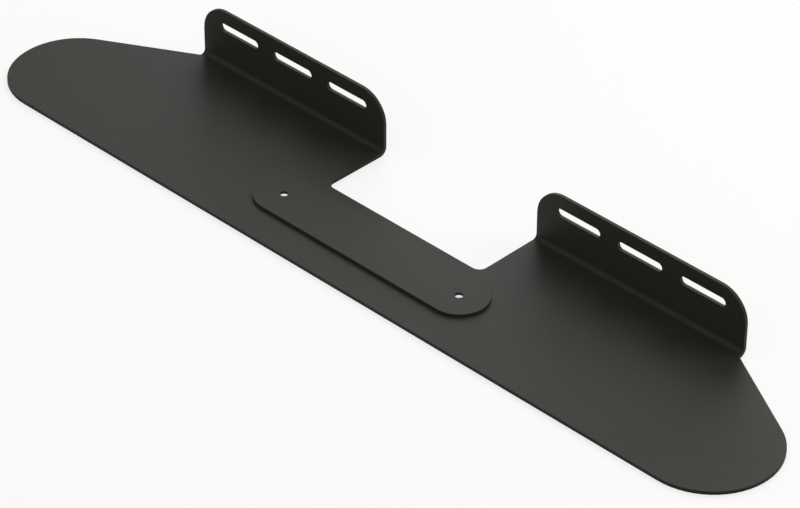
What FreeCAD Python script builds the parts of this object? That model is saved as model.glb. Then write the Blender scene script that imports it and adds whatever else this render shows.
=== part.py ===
import FreeCAD, Part
import math
import os
import Sketcher

# Wall bracket for a soundbar, in millimetres, +Z up.
# One steel sheet is cut to a long plate with round ends and folded up at the back into
# two slotted flanges. A raised strip with two screw holes sits on top of the plate.
# The origin is on the underside, in the middle of the plate's length and depth.
# X runs along the wall and +Y points at the wall.

SIZES = {
    "PlateLength": (640.0, "tip to tip, along the wall"),
    "PlateDepth": (126.3, "front edge to the wall face of the flanges"),
    "SheetThickness": (2.5, "sheet of the folded plate"),
    "EndRadius": (45.0, "round ends of the plate"),
    "FlangeWidth": (168.0, "each flange, along the wall"),
    "FlangeHeight": (43.0, "underside of the plate to the top of a flange"),
    "FlangeCornerRadius": (20.7, "top corners of a flange"),
    "BendRadius": (3.2, "inside of the fold"),
    "FlangeFootRadius": (1.2, "corner between a flange's outer end and the sloping edge"),
    "NotchWidth": (133.0, "gap between the two flanges"),
    "NotchDepth": (53.3, "wall face to the front of the gap"),
    "NotchRadius": (5.8, "front corners of the gap"),
    "SlotCount": (3, "wall slots in each flange"),
    "SlotPitch": (50.0, "between the middles of two slots"),
    "SlotLength": (35.6, "end to end"),
    "SlotWidth": (6.0, "up and down"),
    "SlotHeight": (30.4, "underside of the plate to the middle of the slots"),
    "ScrewSpacing": (152.5, "between the two soundbar screws"),
    "ScrewSetback": (44.5, "front edge of the plate to the soundbar screws"),
    "ScrewHole": (5.5, "diameter in the strip, for the screw"),
    "HeadHole": (13.0, "diameter in the plate, for the screw's head"),
    "StripWidth": (39.5, "front to back; the ends are half rounds about the screws"),
    "StripThickness": (2.0, "raised strip"),
    "EdgeBreak": (0.2, "chamfer on every cut edge of the sheet, soft under the coating"),
}

# two faces or edges closer than this are in the same place
SAME = 0.001

doc = FreeCAD.newDocument("SoundbarBracket")

sheet = doc.addObject("Spreadsheet::Sheet", "Sizes")
for row, (name, (value, note)) in enumerate(SIZES.items(), start=1):
    sheet.set(f"A{row}", name)
    sheet.set(f"B{row}", str(value))
    sheet.set(f"C{row}", note)
    sheet.setAlias(f"B{row}", name)
doc.recompute()

# Places that several sketches share, worked out from the sheet.
sheet_thickness = sheet.SheetThickness
outer_bend = sheet.BendRadius + sheet_thickness
front_y = -sheet.PlateDepth / 2
wall_y = sheet.PlateDepth / 2
fold_y = wall_y - outer_bend
notch_y = wall_y - sheet.NotchDepth
inner_x = sheet.NotchWidth / 2
outer_x = inner_x + sheet.FlangeWidth
screw_x = sheet.ScrewSpacing / 2
screw_y = front_y + sheet.ScrewSetback

# The same places as expressions on the sheet's cells.
OUTER_BEND = "Sizes.BendRadius + Sizes.SheetThickness"
FOLD_Y = f"Sizes.PlateDepth / 2 - ({OUTER_BEND})"
FLANGE_MIDDLE = "Sizes.NotchWidth / 2 + Sizes.FlangeWidth / 2"
FIRST_SLOT = f"{FLANGE_MIDDLE} - Sizes.SlotPitch * (Sizes.SlotCount - 1) / 2"
SCREW_TO_ORIGIN = "Sizes.PlateDepth / 2 - Sizes.ScrewSetback"

# How a sketch numbers the points of a curve, and its own origin on its first axis.
START, END, CENTRE = range(1, 4)
ORIGIN = (-START, START)


def vector(x, y, z=0.0):
    return FreeCAD.Vector(x, y, z)


def start_body(name):
    body = doc.addObject("PartDesign::Body", name)
    body.Label = name
    return body


def start_sketch(body, role, name, height=None):
    # a sketch on one of the body's own planes, raised by an expression where one is given
    sketch = body.newObject("Sketcher::SketchObject", name)
    plane = next(item for item in body.Origin.OriginFeatures if item.Role == role)
    sketch.AttachmentSupport = [(plane, "")]
    sketch.MapMode = "FlatFace"
    if height:
        sketch.setExpression(".AttachmentOffset.Base.z", height)
    return sketch


def add_line(sketch, start, end):
    return sketch.addGeometry(Part.LineSegment(vector(*start), vector(*end)), False)


def add_arc(sketch, centre, radius, from_angle, to_angle):
    circle = Part.Circle(vector(*centre), vector(0, 0, 1), radius)
    arc = Part.ArcOfCircle(circle, math.radians(from_angle), math.radians(to_angle))
    return sketch.addGeometry(arc, False)


def add_circle(sketch, centre, diameter):
    circle = Part.Circle(vector(*centre), vector(0, 0, 1), diameter / 2)
    return sketch.addGeometry(circle, False)


def relate(sketch, kind, *items):
    return sketch.addConstraint(Sketcher.Constraint(kind, *items))


def set_size(sketch, name, expression, kind, *items):
    # a named dimension of the sketch, driven by the sheet
    index = relate(sketch, kind, *items)
    sketch.renameConstraint(index, name)
    sketch.setExpression(f"Constraints.{name}", expression)


def add_pad(body, sketch, name, length):
    pad = body.newObject("PartDesign::Pad", name)
    pad.Profile = sketch
    pad.setExpression("Length", length)
    doc.recompute()
    return pad


def add_through_pocket(body, sketch, name):
    # cuts both ways from its sketch, so it can't miss the sheet
    pocket = body.newObject("PartDesign::Pocket", name)
    pocket.Profile = sketch
    pocket.Type = "ThroughAll"
    pocket.Midplane = True
    before = body.Shape.Volume
    doc.recompute()
    if pocket.Shape.Volume > before - SAME:
        raise RuntimeError(f"{name} cuts nothing")
    return pocket


def dress_edges(body, base, name, kind, size, wanted):
    # rounds or chamfers the edges of the base feature that "wanted" picks by their place
    edges = [f"Edge{i}" for i, edge in enumerate(base.Shape.Edges, start=1) if wanted(edge)]
    if not edges:
        raise RuntimeError(f"{name} finds no edge")
    dressed = body.newObject(f"PartDesign::{kind}", name)
    dressed.Base = (base, edges)
    dressed.setExpression("Radius" if kind == "Fillet" else "Size", size)
    doc.recompute()
    return dressed


def edge_along(edge, axis):
    # True for a straight edge along X, Y or Z
    box = edge.BoundBox
    spans = {"X": box.XLength, "Y": box.YLength, "Z": box.ZLength}
    return all((span > SAME) == (name == axis) for name, span in spans.items())


def draw_half_plate(sketch):
    # the +X half of the flat plate, up to the line where the flange starts to fold;
    # the sloping edge is the line that touches the round end and the round foot
    centre = (sheet.PlateLength / 2 - sheet.EndRadius, front_y + sheet.EndRadius)
    foot_centre = (outer_x + sheet.FlangeFootRadius, fold_y)
    apart = math.dist(centre, foot_centre)
    lean = math.atan2(foot_centre[1] - centre[1], foot_centre[0] - centre[0])
    slope_angle = lean - math.acos((sheet.EndRadius + sheet.FlangeFootRadius) / apart)
    outward = (math.cos(slope_angle), math.sin(slope_angle))
    slope_start = [c + sheet.EndRadius * o for c, o in zip(centre, outward)]
    slope_end = [c - sheet.FlangeFootRadius * o for c, o in zip(foot_centre, outward)]

    front = add_line(sketch, (0, front_y), (centre[0], front_y))
    end = add_arc(sketch, centre, sheet.EndRadius, -90, math.degrees(slope_angle))
    slope = add_line(sketch, slope_start, slope_end)
    foot = add_arc(
        sketch, foot_centre, sheet.FlangeFootRadius, 180, math.degrees(slope_angle) + 180)
    fold = add_line(sketch, (outer_x, fold_y), (inner_x, fold_y))
    side = add_line(sketch, (inner_x, fold_y), (inner_x, notch_y))
    notch = add_line(sketch, (inner_x, notch_y), (0, notch_y))
    middle = add_line(sketch, (0, notch_y), (0, front_y))

    relate(sketch, "Tangent", front, END, end, START)
    relate(sketch, "Tangent", end, END, slope, START)
    relate(sketch, "Tangent", slope, END, foot, END)
    relate(sketch, "Coincident", foot, START, fold, START)
    relate(sketch, "Horizontal", foot, START, foot, CENTRE)
    for one, other in [(fold, side), (side, notch), (notch, middle), (middle, front)]:
        relate(sketch, "Coincident", one, END, other, START)
    for line in (front, fold, notch):
        relate(sketch, "Horizontal", line)
    for line in (side, middle):
        relate(sketch, "Vertical", line)
    relate(sketch, "Vertical", *ORIGIN, front, START)

    set_size(sketch, "EndRadius", "Sizes.EndRadius", "Radius", end, sheet.EndRadius)
    set_size(sketch, "FootRadius", "Sizes.FlangeFootRadius",
             "Radius", foot, sheet.FlangeFootRadius)
    set_size(sketch, "EndCentre", "Sizes.PlateLength / 2 - Sizes.EndRadius",
             "DistanceX", *ORIGIN, end, CENTRE, centre[0])
    set_size(sketch, "FrontEdge", "Sizes.PlateDepth / 2",
             "DistanceY", front, START, *ORIGIN, -front_y)
    set_size(sketch, "FoldLine", FOLD_Y, "DistanceY", *ORIGIN, fold, START, fold_y)
    set_size(sketch, "FlangeInner", "Sizes.NotchWidth / 2",
             "DistanceX", *ORIGIN, fold, END, inner_x)
    set_size(sketch, "FlangeWidth", "Sizes.FlangeWidth",
             "DistanceX", fold, END, fold, START, sheet.FlangeWidth)
    set_size(sketch, "NotchSide", f"Sizes.NotchDepth - ({OUTER_BEND})",
             "DistanceY", side, END, side, START, fold_y - notch_y)


def draw_flange_section(sketch):
    # the fold and the upright flange, seen along the wall
    inside = sheet.BendRadius
    inner_face = wall_y - sheet_thickness
    top = sheet.FlangeHeight
    centre = (fold_y, outer_bend)

    under = add_arc(sketch, centre, outer_bend, -90, 0)
    rear = add_line(sketch, (wall_y, outer_bend), (wall_y, top))
    crest = add_line(sketch, (wall_y, top), (inner_face, top))
    face = add_line(sketch, (inner_face, top), (inner_face, outer_bend))
    over = add_arc(sketch, centre, inside, -90, 0)
    seam = add_line(sketch, (fold_y, sheet_thickness), (fold_y, 0))

    relate(sketch, "Coincident", under, CENTRE, over, CENTRE)
    relate(sketch, "Coincident", under, END, rear, START)
    relate(sketch, "Coincident", rear, END, crest, START)
    relate(sketch, "Coincident", crest, END, face, START)
    relate(sketch, "Coincident", face, END, over, END)
    relate(sketch, "Coincident", over, START, seam, START)
    relate(sketch, "Coincident", seam, END, under, START)
    for line in (rear, face, seam):
        relate(sketch, "Vertical", line)
    relate(sketch, "Horizontal", crest)
    relate(sketch, "Vertical", under, START, under, CENTRE)
    relate(sketch, "Horizontal", under, END, under, CENTRE)
    relate(sketch, "Horizontal", over, END, over, CENTRE)

    set_size(sketch, "InsideRadius", "Sizes.BendRadius", "Radius", over, inside)
    set_size(sketch, "OutsideRadius", OUTER_BEND, "Radius", under, outer_bend)
    set_size(sketch, "FoldLine", FOLD_Y, "DistanceX", *ORIGIN, under, CENTRE, fold_y)
    set_size(sketch, "BendCentre", OUTER_BEND, "DistanceY", *ORIGIN, under, CENTRE, outer_bend)
    set_size(sketch, "FlangeHeight", "Sizes.FlangeHeight",
             "DistanceY", *ORIGIN, crest, START, top)


def draw_round_ended(sketch, centre, between, width, sizes):
    # two half rounds joined by straight sides, level with the sketch's first axis
    left, right = centre[0] - between / 2, centre[0] + between / 2
    low, high = centre[1] - width / 2, centre[1] + width / 2

    right_end = add_arc(sketch, (right, centre[1]), width / 2, -90, 90)
    upper = add_line(sketch, (right, high), (left, high))
    left_end = add_arc(sketch, (left, centre[1]), width / 2, 90, 270)
    lower = add_line(sketch, (left, low), (right, low))

    relate(sketch, "Tangent", right_end, END, upper, START)
    relate(sketch, "Tangent", upper, END, left_end, START)
    relate(sketch, "Tangent", left_end, END, lower, START)
    relate(sketch, "Tangent", lower, END, right_end, START)
    relate(sketch, "Equal", left_end, right_end)
    relate(sketch, "Horizontal", upper)

    set_size(sketch, "EndRadius", sizes["radius"], "Radius", right_end, width / 2)
    set_size(sketch, "Between", sizes["between"],
             "DistanceX", left_end, CENTRE, right_end, CENTRE, between)
    return left_end


def draw_first_slot(sketch):
    # the slot nearest the middle of the bracket; the others follow at the pitch
    between = sheet.SlotLength - sheet.SlotWidth
    centre_x = (inner_x + outer_x) / 2 - sheet.SlotPitch * (sheet.SlotCount - 1) / 2
    left_end = draw_round_ended(
        sketch, (centre_x, sheet.SlotHeight), between, sheet.SlotWidth,
        {"radius": "Sizes.SlotWidth / 2", "between": "Sizes.SlotLength - Sizes.SlotWidth"})
    set_size(sketch, "FirstSlot", f"{FIRST_SLOT} - (Sizes.SlotLength - Sizes.SlotWidth) / 2",
             "DistanceX", *ORIGIN, left_end, CENTRE, centre_x - between / 2)
    set_size(sketch, "SlotHeight", "Sizes.SlotHeight",
             "DistanceY", *ORIGIN, left_end, CENTRE, sheet.SlotHeight)


def draw_strip(sketch):
    # its ends are half rounds about the screws
    left_end = draw_round_ended(
        sketch, (0, screw_y), sheet.ScrewSpacing, sheet.StripWidth,
        {"radius": "Sizes.StripWidth / 2", "between": "Sizes.ScrewSpacing"})
    set_size(sketch, "LeftScrew", "Sizes.ScrewSpacing / 2",
             "DistanceX", left_end, CENTRE, *ORIGIN, screw_x)
    set_size(sketch, "ScrewLine", SCREW_TO_ORIGIN,
             "DistanceY", left_end, CENTRE, *ORIGIN, -screw_y)


def draw_screw_hole(sketch, side, diameter, size):
    # a hole on the screw line, at +X or -X
    hole = add_circle(sketch, (side * screw_x, screw_y), sheet.getPropertyByName(size))
    name = "Right" if side > 0 else "Left"
    across = (*ORIGIN, hole, CENTRE) if side > 0 else (hole, CENTRE, *ORIGIN)
    set_size(sketch, f"{name}Diameter", diameter, "Diameter", hole, sheet.getPropertyByName(size))
    set_size(sketch, f"{name}Screw", "Sizes.ScrewSpacing / 2", "DistanceX", *across, screw_x)
    set_size(sketch, f"{name}ScrewLine", SCREW_TO_ORIGIN,
             "DistanceY", hole, CENTRE, *ORIGIN, -screw_y)


def is_sheet_face(face):
    # one of the two broad sides of the folded sheet, or the fold between them
    surface = face.Surface
    if isinstance(surface, Part.Cylinder):
        return abs(surface.Axis.x) > 1 - SAME
    if not isinstance(surface, Part.Plane):
        return False
    box = face.BoundBox
    flat = box.ZLength < SAME and min(abs(box.ZMin), abs(box.ZMin - sheet_thickness)) < SAME
    upright = box.YLength < SAME and min(
        abs(box.YMin - wall_y), abs(box.YMin - wall_y + sheet_thickness)) < SAME
    return flat or upright


def build_bracket_plate():
    body = start_body("bracket_plate")

    plate_sketch = start_sketch(body, "XY_Plane", "PlateOutline")
    draw_half_plate(plate_sketch)
    add_pad(body, plate_sketch, "Plate", "Sizes.SheetThickness")

    section = start_sketch(body, "YZ_Plane", "FlangeSection", "Sizes.NotchWidth / 2")
    draw_flange_section(section)
    flange = add_pad(body, section, "Flange", "Sizes.FlangeWidth")

    corners = dress_edges(
        body, flange, "FlangeCorners", "Fillet", "Sizes.FlangeCornerRadius",
        lambda edge: edge_along(edge, "Y")
        and abs(edge.BoundBox.ZMax - sheet.FlangeHeight) < SAME)
    dress_edges(
        body, corners, "NotchCorner", "Fillet", "Sizes.NotchRadius",
        lambda edge: edge_along(edge, "Z")
        and abs(edge.BoundBox.XMax - inner_x) < SAME
        and abs(edge.BoundBox.YMax - notch_y) < SAME)

    slot_sketch = start_sketch(body, "XZ_Plane", "SlotOutline")
    draw_first_slot(slot_sketch)
    slot = add_through_pocket(body, slot_sketch, "Slot")
    slots = body.newObject("PartDesign::LinearPattern", "Slots")
    slots.Originals = [slot]
    slots.Direction = (slot_sketch, ["H_Axis"])
    slots.Mode = "Spacing"
    slots.setExpression("Offset", "Sizes.SlotPitch")
    slots.setExpression("Occurrences", "Sizes.SlotCount")
    body.Tip = slots

    head_sketch = start_sketch(body, "XY_Plane", "HeadHoleOutline")
    draw_screw_hole(head_sketch, 1, "Sizes.HeadHole", "HeadHole")
    add_through_pocket(body, head_sketch, "HeadHole")

    whole = body.newObject("PartDesign::Mirrored", "BothHalves")
    whole.TransformMode = "Whole shape"
    whole.MirrorPlane = (
        next(item for item in body.Origin.OriginFeatures if item.Role == "YZ_Plane"), [""])
    whole.Refine = True
    body.Tip = whole
    doc.recompute()

    def is_cut_edge(edge):
        # between a broad side of the sheet and a cut wall
        faces = whole.Shape.ancestorsOfType(edge, Part.Face)
        return len({is_sheet_face(face) for face in faces}) == 2

    dress_edges(body, whole, "BrokenEdges", "Chamfer", "Sizes.EdgeBreak", is_cut_edge)
    return body


def build_spacer_strip():
    body = start_body("spacer_strip")

    outline = start_sketch(body, "XY_Plane", "StripOutline", "Sizes.SheetThickness")
    draw_strip(outline)
    add_pad(body, outline, "Strip", "Sizes.StripThickness")

    holes = start_sketch(body, "XY_Plane", "ScrewHoleOutline", "Sizes.SheetThickness")
    for side in (-1, 1):
        draw_screw_hole(holes, side, "Sizes.ScrewHole", "ScrewHole")
    pocket = add_through_pocket(body, holes, "ScrewHoles")

    top = sheet_thickness + sheet.StripThickness

    def is_top_outline(edge):
        # round the top face, but not the rims of the screw holes
        box = edge.BoundBox
        on_top = abs(box.ZMin - top) < SAME and box.ZLength < SAME
        return on_top and not edge.isClosed()

    dress_edges(body, pocket, "BrokenEdge", "Chamfer", "Sizes.EdgeBreak", is_top_outline)
    return body


def check(bodies):
    failed = [item.Name for item in doc.Objects if {"Invalid", "Error"} & set(item.State)]
    if failed:
        raise RuntimeError(f"these features failed: {', '.join(failed)}")
    for body in bodies:
        if body.Shape.isNull() or not body.Shape.isValid():
            raise RuntimeError(f"{body.Label} has no valid shape")
        if len(body.Shape.Solids) != 1:
            raise RuntimeError(f"{body.Label} isn't one solid")


bodies = [build_bracket_plate(), build_spacer_strip()]
doc.recompute()
check(bodies)

os.makedirs("parts", exist_ok=True)
for body in bodies:
    body.Shape.exportStep(f"parts/{body.Label}.step")
    box = body.Shape.optimalBoundingBox()
    print(f"{body.Label}: {box.XLength:.2f} x {box.YLength:.2f} x {box.ZLength:.2f} mm, "
          f"{body.Shape.Volume / 1000:.2f} cm3, {len(body.Shape.Faces)} faces")
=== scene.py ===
import math
import bpy
import bmesh
from mathutils import Matrix, Vector

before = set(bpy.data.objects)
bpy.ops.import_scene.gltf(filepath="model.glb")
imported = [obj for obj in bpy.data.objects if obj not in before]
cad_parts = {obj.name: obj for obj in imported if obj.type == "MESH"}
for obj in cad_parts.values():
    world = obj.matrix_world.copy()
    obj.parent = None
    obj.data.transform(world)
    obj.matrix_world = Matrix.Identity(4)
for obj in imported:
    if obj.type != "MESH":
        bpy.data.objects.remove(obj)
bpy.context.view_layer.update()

# Soundbar bracket: a folded black plate with a raised strip, lying on a pale studio floor.
# Metres; X runs along the wall, +Y points at the wall, Z is up. Angles are in degrees.

print("frame loaded:", ", ".join(sorted(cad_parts)))

mmPerMetre = 1000


def mm(value):
    # a length or a place given in millimetres, in metres
    return value / mmPerMetre


def linearColour(hexCode):
    # "#rrggbb" in sRGB to a linear RGBA
    channels = [int(hexCode[i:i + 2], 16) / 255 for i in (1, 3, 5)]
    linear = [c / 12.92 if c <= 0.04045 else ((c + 0.055) / 1.055) ** 2.4 for c in channels]
    return (*linear, 1.0)


def addNode(tree, kind, settings=None, links=None):
    # settings are the node's own options, or its input sockets by name or number;
    # links are input sockets with the output that feeds each
    node = tree.nodes.new(kind)
    for name, value in (settings or {}).items():
        if isinstance(name, int) or name in node.inputs:
            node.inputs[name].default_value = value
        else:
            setattr(node, name, value)
    for name, output in (links or {}).items():
        tree.links.new(output, node.inputs[name])
    return node


def newMaterial(name):
    material = bpy.data.materials.new(name)
    material.use_nodes = True
    material.node_tree.nodes.clear()
    return material, material.node_tree


# Satin black polyester powder coat, sprayed and baked on bent steel sheet. It melts into one
# even skin with a slight orange peel and a fine grain, so a softbox shows in it as a broad,
# soft sheen, and a close view shows a faintly pebbled surface.
powderCoat = {
    "colour": "#32322d",
    "colourDeep": "#2e2e29",       # where the skin is a little thicker
    "roughness": (0.51, 0.59),     # in the grain's hollows and on its tops
    "gloss": 0.215,                # matting agent takes the shine below a plain gloss coat
    "peelSize": 2.4,               # mm between the swells of the orange peel
    "peelHeight": 0.05,            # mm, more than the real height so that it shows
    "grainSize": 0.9,              # mm, real grit is near 0.1 mm and would be too fine to show
    "grainHeight": 0.07,           # mm, raised along with its size
    "grainSpan": (0.3, 0.7),       # the part of the noise's range that the grain fills
    "cloudSize": 90,               # mm, passes of the spray gun
    "rimShadeColour": "#12120f",        # painted shade on the plate's upright rim, matched to its dark line in the photo
    "rimTop": 2.5,                 # mm, the top of the plate
    "rimBack": 55,                 # mm, just in front of the folds
    "rimTilt": (0.3, 0.75),        # upward share of a normal where the rim's painted shade starts to fade and ends
}


def rimShadeMask(tree, place, coat):
    # 1 on the plate's upright rim and 0 on its broad sides, the strip, the folds and flanges; it marks
    # where painted shade darkens the coat
    steep, level = coat["rimTilt"]
    normal = addNode(tree, "ShaderNodeSeparateXYZ",
                     links={"Vector": addNode(tree, "ShaderNodeNewGeometry").outputs["Normal"]})
    tilt = addNode(tree, "ShaderNodeMath", {"operation": "ABSOLUTE"}, {0: normal.outputs["Z"]})
    upright = addNode(tree, "ShaderNodeMapRange",
                      {"From Min": steep, "From Max": level, "To Min": 1.0, "To Max": 0.0},
                      {"Value": tilt.outputs[0]})
    where = addNode(tree, "ShaderNodeSeparateXYZ", links={"Vector": place})
    low = addNode(tree, "ShaderNodeMath", {"operation": "LESS_THAN", 1: mm(coat["rimTop"])},
                  {0: where.outputs["Z"]})
    front = addNode(tree, "ShaderNodeMath", {"operation": "LESS_THAN", 1: mm(coat["rimBack"])},
                    {0: where.outputs["Y"]})
    plate = addNode(tree, "ShaderNodeMath", {"operation": "MULTIPLY"},
                    {0: low.outputs[0], 1: front.outputs[0]})
    return addNode(tree, "ShaderNodeMath", {"operation": "MULTIPLY"},
                   {0: plate.outputs[0], 1: upright.outputs["Result"]}).outputs[0]


def satinBlackPowderCoat(coat):
    material, tree = newMaterial("satin black powder coat on steel")
    place = addNode(tree, "ShaderNodeTexCoord").outputs["Object"]

    cloud = addNode(tree, "ShaderNodeTexNoise",
                    {"Scale": 1 / mm(coat["cloudSize"]), "Detail": 2.0, "Roughness": 0.45},
                    {"Vector": place})
    peel = addNode(tree, "ShaderNodeTexNoise",
                   {"Scale": 1 / mm(coat["peelSize"]), "Detail": 1.5, "Roughness": 0.4},
                   {"Vector": place})
    grain = addNode(tree, "ShaderNodeTexNoise",
                    {"Scale": 1 / mm(coat["grainSize"]), "Detail": 2.0, "Roughness": 0.6},
                    {"Vector": place})

    skin = addNode(tree, "ShaderNodeMix",
                   {"data_type": "RGBA", 6: linearColour(coat["colour"]),
                    7: linearColour(coat["colourDeep"])},
                   {0: cloud.outputs["Fac"]})
    # painted shade: the coat turns a deeper black on the plate's upright rim, where the rim mask is 1
    colour = addNode(tree, "ShaderNodeMix",
                     {"data_type": "RGBA", 7: linearColour(coat["rimShadeColour"])},
                     {0: rimShadeMask(tree, place, coat), 6: skin.outputs[2]})

    hollow, top = coat["grainSpan"]
    smooth, rough = coat["roughness"]
    roughness = addNode(tree, "ShaderNodeMapRange",
                        {"From Min": hollow, "From Max": top, "To Min": smooth, "To Max": rough},
                        {"Value": grain.outputs["Fac"]})

    peelBump = addNode(tree, "ShaderNodeBump",
                       {"Strength": 1.0, "Distance": mm(coat["peelHeight"])},
                       {"Height": peel.outputs["Fac"]})
    grainBump = addNode(tree, "ShaderNodeBump",
                        {"Strength": 1.0, "Distance": mm(coat["grainHeight"])},
                        {"Height": grain.outputs["Fac"], "Normal": peelBump.outputs["Normal"]})

    surface = addNode(tree, "ShaderNodeBsdfPrincipled",
                      {"IOR": 1.5, "Specular IOR Level": coat["gloss"], "Metallic": 0.0},
                      {"Base Color": colour.outputs[2], "Roughness": roughness.outputs["Result"],
                       "Normal": grainBump.outputs["Normal"]})
    addNode(tree, "ShaderNodeOutputMaterial", links={"Surface": surface.outputs["BSDF"]})
    return material


def coatNode(name, material):
    # the CAD piece keeps its mesh and only takes the finish
    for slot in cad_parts[name].material_slots:
        slot.material = material


blackCoat = satinBlackPowderCoat(powderCoat)
for name in ("bracket_plate", "spacer_strip"):
    coatNode(name, blackCoat)
print("powder coat on the plate and the strip")

# Pale floor. The camera sees it near white and it keeps the bracket's shadow.
floorSet = {
    "size": 12000,        # mm
    "drop": 0.2,          # mm below the bracket's underside
    "colour": "#949492",
    "lift": 0.74,         # light that only the camera, reflections and see-through rays meet
}


def whiteBoard(floor):
    material, tree = newMaterial("matt white studio board")
    path = addNode(tree, "ShaderNodeLightPath")
    board = addNode(tree, "ShaderNodeBsdfDiffuse", {"Color": linearColour(floor["colour"])})
    direct = addNode(tree, "ShaderNodeMath", {"operation": "MAXIMUM"},
                     {0: path.outputs["Is Camera Ray"], 1: path.outputs["Is Glossy Ray"]})
    seen = addNode(tree, "ShaderNodeMath", {"operation": "MAXIMUM"},
                   {0: direct.outputs[0], 1: path.outputs["Is Transmission Ray"]})
    strength = addNode(tree, "ShaderNodeMath", {"operation": "MULTIPLY", 1: floor["lift"]},
                       {0: seen.outputs[0]})
    glow = addNode(tree, "ShaderNodeEmission", {}, {"Strength": strength.outputs[0]})
    both = addNode(tree, "ShaderNodeAddShader", {}, {0: board.outputs[0], 1: glow.outputs[0]})
    addNode(tree, "ShaderNodeOutputMaterial", links={"Surface": both.outputs[0]})
    return material


def paleFloor(floor):
    sheet = bmesh.new()
    bmesh.ops.create_grid(sheet, x_segments=1, y_segments=1, size=mm(floor["size"]) / 2)
    bmesh.ops.translate(sheet, vec=(0, 0, -mm(floor["drop"])), verts=sheet.verts)
    mesh = bpy.data.meshes.new("studioFloor")
    sheet.to_mesh(mesh)
    sheet.free()
    mesh.materials.append(whiteBoard(floor))
    piece = bpy.data.objects.new("studioFloor", mesh)
    bpy.context.scene.collection.objects.link(piece)


paleFloor(floorSet)
print("floor laid")

# Soft studio light: a pale sky, a large softbox that stands where the flat top of the plate
# mirrors it to the camera, and a small one that lifts the +X end. Sizes in metres, power in watts.
skySet = {"front": 0.70, "back": 0.49}    # strength over the bracket's front and towards the wall
lampSet = {
    "softbox": {"azimuth": 207.5, "elevation": 22.2, "distance": 3.35, "size": (2.78, 3.76),
                "aim": (0, 0, 0), "power": 82.0, "colour": (1.0, 1.0, 1.0)},
    "endBox": {"azimuth": 150, "elevation": 34.5, "distance": 1.21, "size": (0.58, 0.58),
               "aim": (0.3, -0.02, 0), "power": 3.0, "colour": (1.0, 0.99, 0.86)},
}


def studioSky(sky):
    world = bpy.data.worlds.new("studioSky")
    world.use_nodes = True
    tree = world.node_tree
    tree.nodes.clear()
    direction = addNode(tree, "ShaderNodeTexCoord").outputs["Generated"]
    split = addNode(tree, "ShaderNodeSeparateXYZ", links={"Vector": direction})
    strength = addNode(tree, "ShaderNodeMapRange",
                       {"From Min": -1.0, "From Max": 1.0, "To Min": sky["front"], "To Max": sky["back"],
                        "interpolation_type": "SMOOTHSTEP"},
                       {"Value": split.outputs["Y"]})
    glow = addNode(tree, "ShaderNodeBackground", {}, {"Strength": strength.outputs["Result"]})
    addNode(tree, "ShaderNodeOutputWorld", links={"Surface": glow.outputs["Background"]})
    bpy.context.scene.world = world


def directionTo(azimuth, elevation):
    # azimuth 0 stands in front of the bracket and 90 at its +X end
    a = math.radians(azimuth)
    e = math.radians(elevation)
    return Vector((math.sin(a) * math.cos(e), -math.cos(a) * math.cos(e), math.sin(e)))


def areaLamp(name, lamp):
    # a rectangle that faces the point it aims at
    light = bpy.data.lights.new(name, "AREA")
    light.shape = "RECTANGLE"
    light.size, light.size_y = lamp["size"]
    light.energy = lamp["power"]
    light.color = lamp["colour"]
    stand = bpy.data.objects.new(name, light)
    towards = directionTo(lamp["azimuth"], lamp["elevation"])
    stand.location = Vector(lamp["aim"]) + towards * lamp["distance"]
    stand.rotation_mode = "QUATERNION"
    stand.rotation_quaternion = towards.to_track_quat("Z", "Y")
    bpy.context.scene.collection.objects.link(stand)


studioSky(skySet)
for name, lamp in lampSet.items():
    areaLamp(name, lamp)
print("studio lit")

# The camera, fitted to the edges of the photo together with the bracket's sizes.
cameraSet = {
    "azimuth": 44.355,
    "elevation": 35.726,
    "roll": 0.345,
    "distance": 2284.0,             # mm
    "target": (16.646, -9.019, 0),  # mm
    "sensor": 36.0,                 # mm
    "lens": 166.52,                 # mm
}


def photoCamera(view):
    camera = bpy.data.cameras.new("photoCamera")
    camera.sensor_width = view["sensor"]
    camera.lens = view["lens"]
    back = directionTo(view["azimuth"], view["elevation"])
    a = math.radians(view["azimuth"])
    right = Vector((math.cos(a), math.sin(a), 0))
    up = back.cross(right)
    roll = math.radians(view["roll"])
    turnedRight = right * math.cos(roll) + up * math.sin(roll)
    turnedUp = up * math.cos(roll) - right * math.sin(roll)
    place = mm(Vector(view["target"])) + back * mm(view["distance"])
    stand = bpy.data.objects.new("photoCamera", camera)
    axes = Matrix((turnedRight, turnedUp, back)).transposed().to_4x4()
    stand.matrix_world = Matrix.Translation(place) @ axes
    bpy.context.scene.collection.objects.link(stand)
    bpy.context.scene.camera = stand


photoCamera(cameraSet)
bpy.context.scene.view_settings.view_transform = "Standard"
print("camera set")
